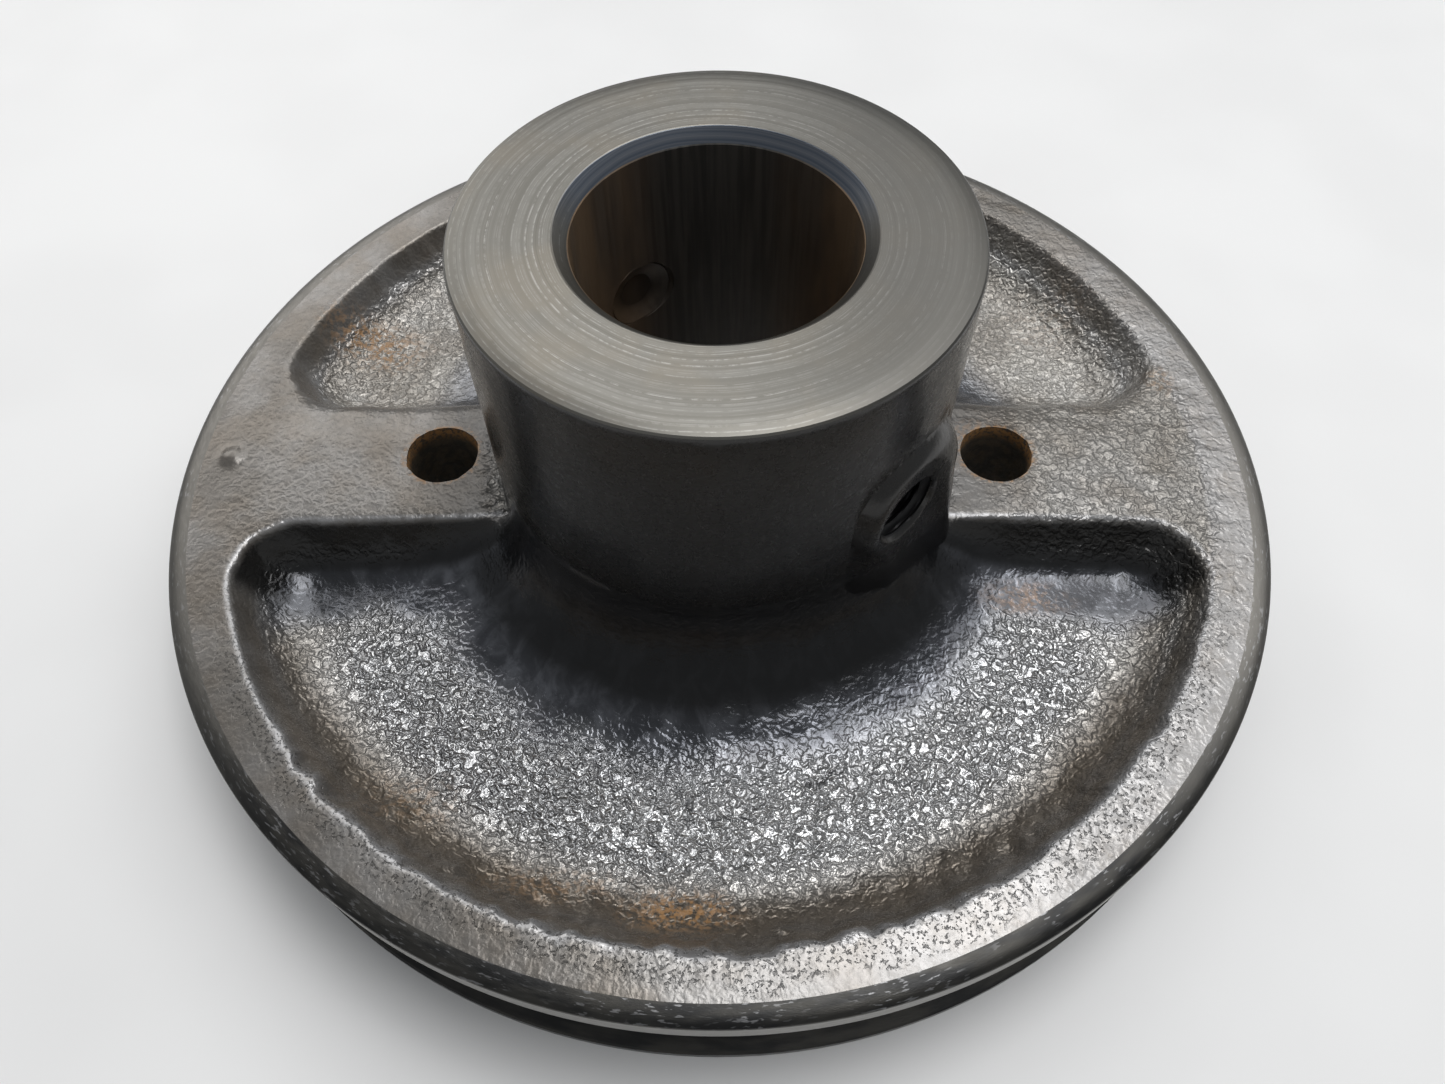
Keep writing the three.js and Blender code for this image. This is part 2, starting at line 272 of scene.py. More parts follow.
def cast_relief(points):
    """How far the sand-cast skin of the web's top stands above its even surface."""
    x, y = points[:, 0], points[:, 1]
    flat = np.stack([x, y, np.zeros_like(x)], axis=-1)
    radius = np.hypot(x, y)
    share, _ = pocket_share(x, y)
    floor = smooth(share, 0.5, 0.95)
    waves = 0.09 * noise(flat, 9, 11) + 0.05 * noise(flat, 4, 12)
    bumps = 0.1 * noise(flat, 1.5, 13) * (1 - 0.7 * flow_share(x, y))
    azimuth = np.arctan2(y, x)
    swirl = np.stack([azimuth * 9 + radius * 0.12, radius * 0.55, np.zeros_like(x)], axis=-1)
    flow = smooth(radius, 50, 38) * floor * 0.22 * noise(swirl, 1.0, 14)
    right_land = smooth(x, 30, 42) * (1 - floor)
    land_waves = 0.13 * right_land * noise(np.stack([x * 0.45, y, x * 0], axis=-1), 1.5, 15)
    lumps = grainy_corners(points) * (1.0 * np.clip(noise(flat, 1.5, 16), 0, 1) + 0.3 * noise(flat, 0.8, 17))
    from_pimple = ((x + 72.7) ** 2 + (y + 0.3) ** 2) / 2.3 ** 2
    bumps *= smooth(from_pimple, 1, 2)
    pimple = 0.6 * np.clip(1 - from_pimple, 0, 1) ** 1.5
    bumps *= 0.35 + 0.65 * floor - 0.25 * smooth(x, -30, -42) * (1 - floor)
    relief = waves * (0.25 + 0.75 * floor) + bumps + flow + land_waves + lumps + pimple
    return relief * smooth(radius, OUTER_R - RIM_EDGE_RUN, OUTER_R - RIM_EDGE_RUN - 2.5)


# ---- The casting's mesh -------------------------------------------------------------------------------

def columns(radius):
    """Azimuths of the mesh's columns at a radius. They follow the lands' straight walls."""
    held = float(np.clip(radius, HUB_R, POCKET_R))
    half = float(land_half(held))
    land = math.asin(half / held)
    wall = math.asin((half + WALL_ZONE) / held)
    quarter = np.concatenate([
        np.linspace(0, land, LAND_COLUMNS, endpoint=False),
        np.linspace(land, wall, WALL_COLUMNS, endpoint=False),
        np.linspace(wall, math.pi / 2, OPEN_COLUMNS, endpoint=False),
    ])
    mirrored = np.concatenate([quarter[1:], [math.pi / 2]])[::-1]
    half_turn = np.concatenate([quarter, math.pi - mirrored])
    return np.concatenate([half_turn, half_turn + math.pi])


def web_radii():
    """Radii of the rings over the web, close together where the surface bends."""
    foot = [HUB_R + FOOT_RUN * (1 - math.cos(a)) for a in np.linspace(0, math.pi / 2, 23, endpoint=False)]
    return (
        foot
        + spaced(HUB_R + FOOT_RUN, POCKET_R - 4, 0.66)
        + spaced(POCKET_R - 4, POCKET_R + 1.2, 0.33)
        + spaced(POCKET_R + 1.2, OUTER_R - RIM_EDGE_RUN, 0.7)
    )


def hub_side_rings():
    """Rings down the hub's side, the lower ones bent to end on the foot's own height at every column."""
    around = columns(HUB_R)
    foot = polar(around, HUB_R, 0)
    foot_z = web_height(foot[:, 0], foot[:, 1])
    rings = []
    bend_z = 31.0
    levels = [np.full_like(foot_z, z) for z in spaced(HUB_TOP - HUB_BAND_DROP - HUB_EDGE - 0.8, bend_z, 2.6)]
    levels += [bend_z + (foot_z - bend_z) * part for part in np.linspace(0, 1, 9, endpoint=False)]
    for level in levels:
        ring = polar(around, HUB_R, level)
        dent = 0.12 * noise(ring, 8, 21) + 0.05 * noise(ring, 2.5, 22) - 0.06
        ring[:, :2] *= (1 + dent / HUB_R)[:, None]
        rings.append(ring)
    return rings


def fine_rings():
    """Rings with every column: hub top's outer edge, hub side, web and the rim's rolled edge."""
    shoulder = HUB_TOP - HUB_BAND_DROP
    profile = [(HUB_R - HUB_BAND_RUN - 0.6, HUB_TOP), (HUB_R - HUB_BAND_RUN, HUB_TOP - 0.02)]
    profile += [(HUB_R - HUB_BAND_RUN + 1.1, HUB_TOP - 0.11)]
    profile += arc((HUB_R - HUB_EDGE, shoulder - HUB_EDGE), HUB_EDGE, 90, 0, 3)
    rings = [polar(columns(radius), radius, z) for radius, z in profile]
    rings += hub_side_rings()
    for radius in web_radii():
        ring = polar(columns(radius), radius, 0)
        ring[:, 2] = web_height(ring[:, 0], ring[:, 1])
        ring[:, 2] += cast_relief(ring)
        rings.append(ring)
    for turn in np.linspace(90, 0, 7):
        radius = OUTER_R - RIM_EDGE_RUN * (1 - math.cos(math.radians(turn)))
        z = RIM_WIDTH - RIM_EDGE_DROP * (1 - math.sin(math.radians(turn)))
        rings.append(polar(columns(radius), radius, z))
    for z in (17.2, 16.0, GROOVE_LOW + GROOVE_WIDTH + 0.15):
        rings.append(polar(columns(OUTER_R), OUTER_R, z))
    return rings


def coarse_rings():
    """Rings with every third column: groove, underside, bore and hub top's inner part."""
    high = GROOVE_LOW + GROOVE_WIDTH
    floor_r = OUTER_R - GROOVE_DEPTH
    rise = GROOVE_DEPTH * math.tan(GROOVE_HALF_ANGLE)
    profile = [(OUTER_R - 0.15, high - 0.05)]
    profile += [(OUTER_R - 0.15 - d, high - 0.05 - d * math.tan(GROOVE_HALF_ANGLE)) for d in (3, 6, 9)]
    profile += arc((floor_r + 0.9, high - rise - 0.75), 0.9, 108, 180, 3)
    profile += arc((floor_r + 0.9, GROOVE_LOW + rise + 0.75), 0.9, 180, 252, 3)
    profile += [(OUTER_R - 0.25 - d, GROOVE_LOW + 0.08 + d * math.tan(GROOVE_HALF_ANGLE)) for d in (9, 6, 3)]
    profile += [(OUTER_R - 0.25, GROOVE_LOW + 0.08), (OUTER_R, GROOVE_LOW - 0.2)]
    profile += arc((OUTER_R - 0.7, 0.7), 0.7, 0, -90, 3)
    profile += [(r, 0.0) for r in spaced(OUTER_R - 2.5, RECESS_OUTER_R + 1.6, 2.4)]
    profile += arc((RECESS_OUTER_R + 1, 1), 1, -90, -163, 3)
    profile += arc((RECESS_OUTER_R - 4, RECESS_DEPTH - 3), 3, 17, 90, 5)
    profile += [(r, RECESS_DEPTH) for r in spaced(RECESS_OUTER_R - 6.2, RECESS_INNER_R + 6, 2.4)]
    profile += arc((RECESS_INNER_R + 4, RECESS_DEPTH - 3), 3, 90, 163, 5)
    profile += arc((RECESS_INNER_R - 1, 1), 1, -17, -90, 3)
    profile += [(30.0, 0.0), (25.0, 0.0), (CHAMFER_R + 0.1, 0.0), (CHAMFER_R - 0.1, 0.08)]
    profile += [(BORE_R + 0.12, CHAMFER_DEPTH - 0.05), (BORE_R, CHAMFER_DEPTH + 0.1)]
    profile += [(BORE_R, z) for z in np.linspace(4, HUB_TOP - 4, 9)]
    profile += [(BORE_R, HUB_TOP - CHAMFER_DEPTH - 0.1), (BORE_R + 0.12, HUB_TOP - CHAMFER_DEPTH + 0.05)]
    profile += [(CHAMFER_R - 0.1, HUB_TOP - 0.08), (CHAMFER_R + 0.1, HUB_TOP)]
    profile += [(22.5, HUB_TOP), (25.5, HUB_TOP)]
    rings = []
    for radius, z in profile:
        ring = polar(columns(radius)[::COARSE], radius, z)
        if RECESS_INNER_R < radius < RECESS_OUTER_R and z <= RECESS_DEPTH:
            sand = 0.12 * noise(ring, 7, 31) + 0.1 * noise(ring, 3.2, 32)
            ring[:, 2] = np.maximum(0, ring[:, 2] + smooth(z, 0.5, 2.5) * sand)
        rings.append(ring)
    return rings


def casting_mesh():
    """The casting as one closed skin of rings, before the pad is joined and the holes are cut."""
    rings = fine_rings() + coarse_rings()
    starts = np.cumsum([0] + [len(r) for r in rings])
    faces = []
    for i, ring in enumerate(rings):
        following = (i + 1) % len(rings)
        a, b = int(starts[i]), int(starts[following])
        n, m = len(ring), len(rings[following])
        if n == m:
            faces += [(a + j, b + j, b + (j + 1) % n, a + (j + 1) % n) for j in range(n)]
        elif n > m:
            for k in range(m):
                outer = [a + (COARSE * k + j) % n for j in range(COARSE + 1)]
                near, far = b + k, b + (k + 1) % m
                faces += [(outer[0], near, outer[1]), (outer[1], near, far, outer[2])]
                faces += [(outer[2], far, outer[3])]
        else:
            for k in range(n):
                inner = [b + (COARSE * k + j) % m for j in range(COARSE + 1)]
                near, far = a + k, a + (k + 1) % n
                faces += [(near, inner[0], inner[1]), (near, inner[1], inner[2], far)]
                faces += [(far, inner[2], inner[3])]
    return np.concatenate(rings), faces


def grid_faces(rows, cols, start, closed):
    """Quads of a grid of points stored row by row. closed joins each row's ends."""
    span = cols if closed else cols - 1
    return [
        (start + i * cols + j, start + i * cols + (j + 1) % cols,
         start + (i + 1) * cols + (j + 1) % cols, start + (i + 1) * cols + j)
        for i in range(rows - 1) for j in range(span)
    ]


def pad_inside(across, z):
    """How far in from the pad's outline a point of its face lies: straight sides under a squarish arch."""
    below = np.clip((PAD_ARCH_Z - z) / (PAD_ARCH_Z - PAD_BOTTOM), 0, 1)
    side = np.abs(across - PAD_OFFSET)
    rise = np.maximum(z - PAD_ARCH_Z, 0)
    reach = np.maximum(np.hypot(side, rise), 1e-6)
    share = (side / reach / PAD_HALF_WIDTH) ** PAD_ARCH_POWER
    share = share + (rise / reach / PAD_ARCH_HEIGHT) ** PAD_ARCH_POWER
    flare = np.where(across > PAD_OFFSET, PAD_FLARE_RIGHT, PAD_FLARE_LEFT) * below
    return np.where(rise > 0, share ** (-1 / PAD_ARCH_POWER) - reach, PAD_HALF_WIDTH + flare - side)


def pad_mesh():
    """The arched set screw pad as a closed solid whose skin runs smoothly under the hub's side."""
    left, right = PAD_OFFSET - PAD_HALF_WIDTH - 2.2, PAD_OFFSET + PAD_HALF_WIDTH + PAD_FLARE_RIGHT + 1.6
    across = np.arange(left, right, 0.44)
    up = np.arange(PAD_BOTTOM + 1, 49.6, 0.5)
    z, t = np.meshgrid(up, across, indexing="ij")
    t_flat, z_flat = t.ravel(), z.ravel()
    points = np.stack([t_flat, z_flat, np.zeros_like(t_flat)], axis=-1)
    inside = pad_inside(t_flat, z_flat) + 0.25 * noise(points, 4, 41)
    hub_face = np.sqrt(HUB_R ** 2 - t_flat ** 2)
    run = PAD_ROUND_LEFT + (PAD_ROUND_RIGHT - PAD_ROUND_LEFT) * smooth(t_flat, 0, 8)
    run += PAD_ROUND_FADE * smooth(t_flat, 2, -4) * smooth(z_flat, 36, 20)
    risen = 1 - (1 - np.clip(inside / run, 0, 1)) ** 2.2
    face = PAD_FACE + 0.05 * noise(points, 4, 42)
    skin = hub_face + (face - hub_face) * risen + np.clip(inside, -1.5, 0)
    back = hub_face - 5
    rows, cols = z.shape
    front_points = np.stack([t_flat, z_flat, skin], axis=-1)
    back_points = np.stack([t_flat, z_flat, back], axis=-1)
    count = rows * cols
    faces = grid_faces(rows, cols, 0, False)
    faces += [tuple(reversed(f)) for f in grid_faces(rows, cols, count, False)]
    border = list(range(cols))
    border += [i * cols + cols - 1 for i in range(1, rows)]
    border += [(rows - 1) * cols + j for j in range(cols - 2, -1, -1)]
    border += [i * cols for i in range(rows - 2, 0, -1)]
    for i, a in enumerate(border):
        b = border[(i + 1) % len(border)]
        faces.append((a, a + count, b + count, b))
    both = np.concatenate([front_points, back_points])
    normal = np.array([math.cos(PAD_AZIMUTH), math.sin(PAD_AZIMUTH), 0])
    side_way = np.array([-math.sin(PAD_AZIMUTH), math.cos(PAD_AZIMUTH), 0])
    upwards = np.array([0, 0, 1.0])
    world = both[:, 2:3] * normal + both[:, 0:1] * side_way + both[:, 1:2] * upwards
    return world, faces


def thread_radius(azimuth, z, minor, major):
    """Radius of a screw thread's surface, with flattened crests and roots."""
    turn = z / SCREW_PITCH - azimuth / (2 * math.pi)
    tooth = 2 * np.abs(turn - np.floor(turn) - 0.5)
    return minor + (major - minor) * np.clip((tooth - 0.12) / 0.72, 0, 1)


def capped_rows(rings):
    """Points and faces of a closed solid of equal rings, its ends closed by fans."""
    cols = len(rings[0])
    points = np.concatenate(rings + [rings[0].mean(0, keepdims=True), rings[-1].mean(0, keepdims=True)])
    faces = grid_faces(len(rings), cols, 0, True)
    low, high = len(points) - 2, len(points) - 1
    last = (len(rings) - 1) * cols
    faces += [(low, (j + 1) % cols, j) for j in range(cols)]
    faces += [(high, last + j, last + (j + 1) % cols) for j in range(cols)]
    return points, faces


def thread_cutter():
    """The tapped hole from the bore to past the pad's face, its mouth just broken."""
    azimuths = np.linspace(0, 2 * math.pi, 48, endpoint=False)
    step = SCREW_PITCH / 8
    rings = []
    for distance in np.arange(BORE_R - 3, PAD_FACE + 2, step):
        local = np.full_like(azimuths, distance - SCREW_POINT)
        radius = thread_radius(azimuths, local, SCREW_MINOR_R, SCREW_MAJOR_R) + THREAD_CLEARANCE
        mouth = SCREW_MAJOR_R + 0.45 - (PAD_FACE - distance)
        radius = np.clip(np.maximum(radius, mouth), 0, 5.6)
        rings.append(polar(azimuths, radius, distance))
    points, faces = capped_rows(rings)
    return placed(points, outward_place(PAD_AZIMUTH, SCREW_Z)), faces


def web_hole_cutter(x):
    """One web hole: drilled, with a mouth that is a little chipped."""
    azimuths = np.linspace(0, 2 * math.pi, 96, endpoint=False)
    rings = []
    levels = [-3, -0.1, 0.35, 3, 6, 9, 12, 15, 17, 18.3, 18.8, RIM_WIDTH + 0.1, RIM_WIDTH + 4]
    for z in levels:
        ring = polar(azimuths, WEB_HOLE_R, z)
        mouth = smooth(z, RIM_WIDTH - 1.1, RIM_WIDTH)
        chips = np.clip(noise(ring * (1, 1, 0.2) + (x, 0, 0), 1.1, 51), 0, 1) * 0.25 * mouth
        wander = 0.04 * noise(ring + (x, 0, 0), 4, 52)
        rings.append(polar(azimuths, WEB_HOLE_R + wander + chips + 0.12 * mouth, z))
    points, faces = capped_rows(rings)
    return points + (x, 0, 0), faces


def drill_mark_cutter():
    """The shallow round spot on the bore's far wall, opposite the tapped hole."""
    azimuths = np.linspace(0, 2 * math.pi, 48, endpoint=False)
    deepest = BORE_R + DRILL_MARK_DEPTH
    profile = [(DRILL_MARK_R + 0.35, BORE_R - 6), (DRILL_MARK_R + 0.35, BORE_R - 0.6), (DRILL_MARK_R, BORE_R)]
    profile += [(DRILL_MARK_R - 0.15, deepest - 0.5), (DRILL_MARK_R - 0.9, deepest)]
    profile += [(DRILL_MARK_R * 0.5, deepest + 0.7)]
    rings = [polar(azimuths, radius, distance) for radius, distance in profile]
    points, faces = capped_rows(rings)
    return placed(points, outward_place(DRILL_MARK_AZIMUTH, DRILL_MARK_Z)), faces


def cut_and_join(piece, tools):
    """Applies each (operation, points, faces) tool to a closed mesh and removes the tools."""
    helpers = []
    for number, (operation, points, faces) in enumerate(tools):
        helper = mesh_object(f"tool_{number}", points, faces)
        modifier = piece.modifiers.new(f"cut_{number}", "BOOLEAN")
        modifier.operation = operation
        modifier.solver = "MANIFOLD"
        modifier.object = helper
        helpers.append(helper)
    bpy.context.view_layer.update()
    result = bpy.data.meshes.new_from_object(piece.evaluated_get(bpy.context.evaluated_depsgraph_get()))
    piece.modifiers.clear()
    old = piece.data
    piece.data = result
    bpy.data.meshes.remove(old)
    for helper in helpers:
        mesh = helper.data
        bpy.data.objects.remove(helper)
        bpy.data.meshes.remove(mesh)
    return piece


def vertex_array(mesh):
    """The mesh's points in millimetres."""
    flat = np.zeros(len(mesh.vertices) * 3, np.float32)
    mesh.vertices.foreach_get("co", flat)
    return flat.reshape(-1, 3).astype(float) / MM


def smooth_with_edges(mesh, cast_limit, cut_limit):
    """Smooth shading, kept sharp at steep edges. Edges between two cast faces have a limit of their own."""
    mesh.shade_smooth()
    sides = np.zeros(len(mesh.polygons), np.int32)
    slot = np.zeros(len(mesh.polygons), np.int32)
    normals = np.zeros(len(mesh.polygons) * 3, np.float32)
    edges = np.zeros(len(mesh.loops), np.int32)
    mesh.polygons.foreach_get("loop_total", sides)
    mesh.polygons.foreach_get("material_index", slot)
    mesh.polygons.foreach_get("normal", normals)
    mesh.loops.foreach_get("edge_index", edges)
    normals = normals.reshape(-1, 3)
    owner = np.repeat(np.arange(len(sides)), sides)
    one, other = np.zeros(len(mesh.edges), int), np.zeros(len(mesh.edges), int)
    one[edges] = owner
    other[edges[::-1]] = owner[::-1]
    turn = np.degrees(np.arccos(np.clip(np.sum(normals[one] * normals[other], axis=1), -1, 1)))
    limit = np.where((slot[one] == 0) & (slot[other] == 0), cast_limit, cut_limit)
    sharp = mesh.attributes.get("sharp_edge") or mesh.attributes.new("sharp_edge", "BOOLEAN", "EDGE")
    sharp.data.foreach_set("value", turn > limit)


# ---- Material masks on the casting --------------------------------------------------------------------

RUST_SPOTS = [  # x, y, radius along x, radius along y, strength
    (-57, 29, 9, 6, 0.9), (-5, -65, 9, 3.6, 1.0), (44, -21, 8, 3.5, 0.3), (-40, -51, 9, 5, 0.3),
    (69, 14.5, 2.5, 3.5, 0.6), (41.3, 10.4, 0.8, 0.8, 0.8), (WEB_HOLE_AT - 1, 1.5, 6.4, 6.4, 0.5),
    (-WEB_HOLE_AT, 0, 5.9, 5.9, 0.3), (20, 40, 10, 8, 0.4), (55, 35, 8, 8, 0.25), (-20, -62, 12, 3, 0.3),
]


def set_mask(mesh, name, values):
    attribute = mesh.attributes.new(name, "FLOAT", "POINT")
    attribute.data.foreach_set("value", np.clip(values, 0, 1).astype(np.float32))


def paint_masks(mesh):
    """Where the casting is bumpy, rusty, smooth with flow or dull, where its edges are lightened by wear and
    painted highlight, and where painted shade darkens it, on its points.
    """
    points = vertex_array(mesh)
    x, y, z = points.T
    flat = points * (1, 1, 0)
    radius = np.hypot(x, y)
    share, inside = pocket_share(x, y)
    hub_side = smooth(z, 25, 30)
    on_top = smooth(z, 8.5, 9.5) * smooth(radius, HUB_R - 0.5, HUB_R + 0.5) * (1 - hub_side)
    floor = smooth(share, 0.35, 0.8)
    from_front = np.degrees(np.abs(np.arctan2(x, -y)))
    front_rim = smooth(from_front, 80, 40)
    # The bright edge line is partly wear and partly painted highlight: it is kept to the front half and
    # widened towards the front.
    edge_width = 0.28 + 0.3 * front_rim
    wear_and_highlight = np.exp(-((inside + 0.3) / edge_width) ** 2) * on_top * smooth(y, 16, 6)
    wall = smooth(share, 0.03, 0.15) * smooth(inside, 5.5, 3.5) * smooth(y, 0, -8)
    flow = flow_share(x, y) * on_top
    centre = smooth(from_front, 78, 55) * smooth(radius, 67, 58) * smooth(radius, 38, 46)
    dull = floor * (1 - centre) * (1 - 0.85 * flow)
    dull = np.maximum(dull, (1 - floor) * (0.98 - 0.08 * front_rim)) * on_top
    dull = np.maximum(dull, hub_side)
    # Painted shade: the hub's side, the foot round it and the lands' front walls are painted near-black,
    # darkest towards the front, where they face the dark surroundings.
    side = np.degrees(np.arctan2(x, -y))
    shaded = smooth(side, 74, 46) * smooth(side, -72, -35)
    foot_shade_edge = 47 + 6 * smooth(from_front, 70, 35)
    foot_painted_shade = smooth(radius, foot_shade_edge, 38) * smooth(z, 12.5, 15)
    painted_shade = np.maximum(foot_painted_shade, z > 27) * (0.62 + 0.38 * shaded)
    painted_shade = np.maximum(painted_shade, wall * smooth(np.abs(y), 24, 20) * on_top)
    painted_shade = np.maximum(painted_shade, 0.5 * flow * smooth(radius, 48, 56))
    right_land = smooth(x, 36, 48)
    land = 0.1 + 0.4 * right_land + 0.6 * grainy_corners(points) + 0.1 * front_rim
    bumpy = on_top * (floor * (1 - 0.85 * flow) * (0.6 + 0.4 * centre) + (1 - floor) * land)
    bumpy *= 1 - 0.5 * smooth(radius, 60, 68) * smooth(y, -20, -45)
    bumpy *= 1 - 0.7 * smooth(radius, POCKET_R - 1, POCKET_R + 2)
    pitted = on_top * (1 - floor) * smooth(radius, POCKET_R - 1, POCKET_R) * smooth(from_front, 85, 50)
    pitted *= smooth(radius + 1.5 * noise(flat, 5, 64), 75.9, 74.6)
    # Painted highlight: the rim's top is lightened towards its front right, where it reflects the lights.
    rim_painted_highlight = on_top * (1 - floor) * smooth(radius, POCKET_R - 1, POCKET_R)
    rim_painted_highlight = rim_painted_highlight * smooth(np.abs(side - 65), 75, 35)
    wear_and_highlight = np.maximum(wear_and_highlight, 0.45 * rim_painted_highlight)
    rust = np.zeros(len(points))
    for at_x, at_y, wide, deep, strength in RUST_SPOTS:
        far = np.hypot((x - at_x) / wide, (y - at_y) / deep)
        rust = np.maximum(rust, strength * smooth(far, 1.2, 0.1))
    rust *= (0.75 + 0.5 * noise(flat, 5, 61)) * on_top
    in_hole = smooth(np.abs(np.hypot(np.abs(x) - WEB_HOLE_AT, y) - WEB_HOLE_R), 0.5, 0.2)
    rust = np.maximum(rust, in_hole * 0.8)
    masks = {
        "bumpy": bumpy,
        "wear_and_highlight": wear_and_highlight,
        "rust": rust,
        "flow": flow,
        "dull": dull,
        "painted_shade": painted_shade,
        "pitted": pitted,
    }
    for name, values in masks.items():
        set_mask(mesh, name, values)


# ---- Shader building ----------------------------------------------------------------------------------

class Nodes:
    """A short way to write a material's node tree."""

    def __init__(self, name):
        self.material = bpy.data.materials.new(name)
        self.material.use_nodes = True
        self.tree = self.material.node_tree
        self.shader = self.tree.nodes["Principled BSDF"]
        coordinates = self.tree.nodes.new("ShaderNodeTexCoord").outputs["Object"]
        self.place = self.vector("SCALE", coordinates, 1 / MM)

    def add(self, kind, settings=None, **inputs):
        made = self.tree.nodes.new(kind)
        for key, value in (settings or {}).items():
            setattr(made, key, value)
        for key, value in inputs.items():
            self.put(value, made.inputs[key])
        return made

    def put(self, value, socket):
        if isinstance(value, bpy.types.NodeSocket):
            self.tree.links.new(value, socket)
        elif isinstance(value, (tuple, list)) and len(value) == 3 and socket.type == "RGBA":
            socket.default_value = (*value, 1)
        else:
            socket.default_value = value

    def math(self, operation, a, b=0.0, clamp=False):
        made = self.add("ShaderNodeMath", {"operation": operation, "use_clamp": clamp})
        self.put(a, made.inputs[0])
        self.put(b, made.inputs[1])
        return made.outputs[0]

    def vector(self, operation, a, b=None):
        made = self.add("ShaderNodeVectorMath", {"operation": operation})
        self.put(a, made.inputs[0])
        if operation == "SCALE":
            self.put(b, made.inputs["Scale"])
        elif b is not None:
            self.put(b, made.inputs[1])
        return made.outputs["Value"] if operation in ("LENGTH", "DOT_PRODUCT") else made.outputs["Vector"]

    def stretched(self, factors, source=None):
        return self.vector("MULTIPLY", source or self.place, factors)

    def split(self, source=None):
        return self.add("ShaderNodeSeparateXYZ", Vector=source or self.place).outputs

    def join(self, x=0.0, y=0.0, z=0.0):
        return self.add("ShaderNodeCombineXYZ", X=x, Y=y, Z=z).outputs[0]

    def noise(self, scale, detail=2.0, roughness=0.5, source=None, distortion=0.0):
        return self.add(
            "ShaderNodeTexNoise", Vector=source or self.place,
            Scale=scale, Detail=detail, Roughness=roughness, Distortion=distortion,
        ).outputs["Fac"]

    def range(self, value, low, high, to_low=0.0, to_high=1.0):
        made = self.add("ShaderNodeMapRange", {"interpolation_type": "SMOOTHSTEP"})
        sockets = ("Value", "From Min", "From Max", "To Min", "To Max")
        for key, item in zip(sockets, (value, low, high, to_low, to_high)):
            self.put(item, made.inputs[key])
        return made.outputs["Result"]

    def mix(self, share, a, b):
        made = self.add("ShaderNodeMix", {"data_type": "RGBA"})
        self.put(share, made.inputs["Factor"])
        self.put(a, made.inputs[6])
        self.put(b, made.inputs[7])
        return made.outputs[2]

    def mask(self, name):
        return self.add("ShaderNodeAttribute", {"attribute_name": name}).outputs["Fac"]

    def bump(self, height, strength, distance, normal=None):
        made = self.add("ShaderNodeBump", Strength=strength, Distance=distance, Height=height)
        if normal is not None:
            self.put(normal, made.inputs["Normal"])
        return made.outputs["Normal"]

    def axis_distance(self):
        x, y, _ = self.split()
        return self.math("SQRT", self.math("ADD", self.math("MULTIPLY", x, x), self.math("MULTIPLY", y, y)))

    def finish(self, **inputs):
        for key, value in inputs.items():
            self.put(value, self.shader.inputs[key.replace("_", " ")])
        return self.material


IRON_OILED = (0.520, 0.523, 0.532)
IRON_DULL = (0.480, 0.460, 0.425)
IRON_LAND = (0.122, 0.110, 0.096)
IRON_FLOW = (0.062, 0.065, 0.074)
IRON_BROWN = (0.150, 0.124, 0.096)
IRON_BLACK = (0.014, 0.014, 0.014)
IRON_BLUISH = (0.165, 0.171, 0.190)
IRON_BRIGHT = (0.40, 0.40, 0.41)
RUST = (0.31, 0.155, 0.045)


